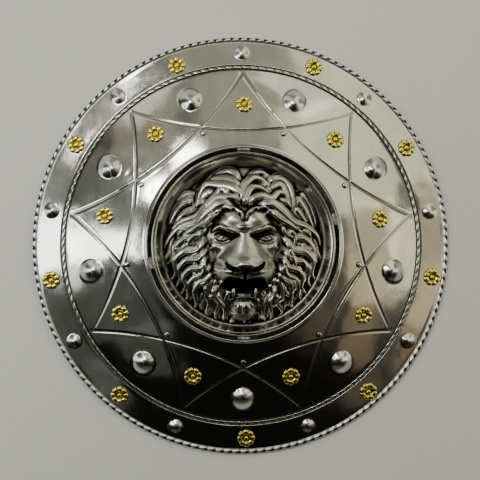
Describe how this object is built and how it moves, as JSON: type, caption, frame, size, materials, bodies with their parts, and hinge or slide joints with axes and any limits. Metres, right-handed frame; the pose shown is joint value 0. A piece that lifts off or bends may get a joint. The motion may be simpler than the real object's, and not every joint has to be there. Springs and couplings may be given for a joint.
{
  "type": "buckler shield",
  "caption": "Round domed steel shield with a roped rim, a pressed star pattern, domes and gilt flower studs round a lion's head medallion, and two arm straps behind.",
  "frame": {"origin": "middle of the ring that the rim rests on, on the surface that the shield lies on", "axes": "+Z out of the face, which is up as it lies; +Y towards the top of the lion's head; +X to the right of someone facing the shield"},
  "size_m": [0.56, 0.56, 0.0925],
  "materials": {
    "polished_steel": "hand-polished bright steel, slightly wavy",
    "antiqued_steel": "polished crests with blackened recesses",
    "weld_metal": "rough grey weld",
    "gilt_brass": "bright gilt, darkened in the hollows",
    "rivet_steel": "polished",
    "strap_leather": "dark brown oiled leather"
  },
  "bodies": {
    "root": {"shield_plate": "polished_steel", "lion_boss": "antiqued_steel", "boss_weld_top": "weld_metal", "boss_weld_right": "weld_metal", "boss_weld_bottom": "weld_metal", "boss_weld_left": "weld_metal", "rim_flower_1": "gilt_brass", "rim_flower_2": "gilt_brass", "rim_flower_3": "gilt_brass", "rim_flower_4": "gilt_brass", "rim_flower_5": "gilt_brass", "rim_flower_6": "gilt_brass", "rim_flower_7": "gilt_brass", "rim_flower_8": "gilt_brass", "rim_flower_9": "gilt_brass", "field_flower_1": "gilt_brass", "field_flower_2": "gilt_brass", "field_flower_3": "gilt_brass", "field_flower_4": "gilt_brass", "field_flower_5": "gilt_brass", "field_flower_6": "gilt_brass", "field_flower_7": "gilt_brass", "field_flower_8": "gilt_brass", "field_flower_9": "gilt_brass", "rivet_1": "rivet_steel", "rivet_2": "rivet_steel", "rivet_3": "rivet_steel", "rivet_4": "rivet_steel", "rivet_5": "rivet_steel", "rivet_6": "rivet_steel", "rivet_7": "rivet_steel", "rivet_8": "rivet_steel", "rivet_9": "rivet_steel", "hand_strap": "strap_leather", "arm_strap": "strap_leather"}
  },
  "joints": []
}
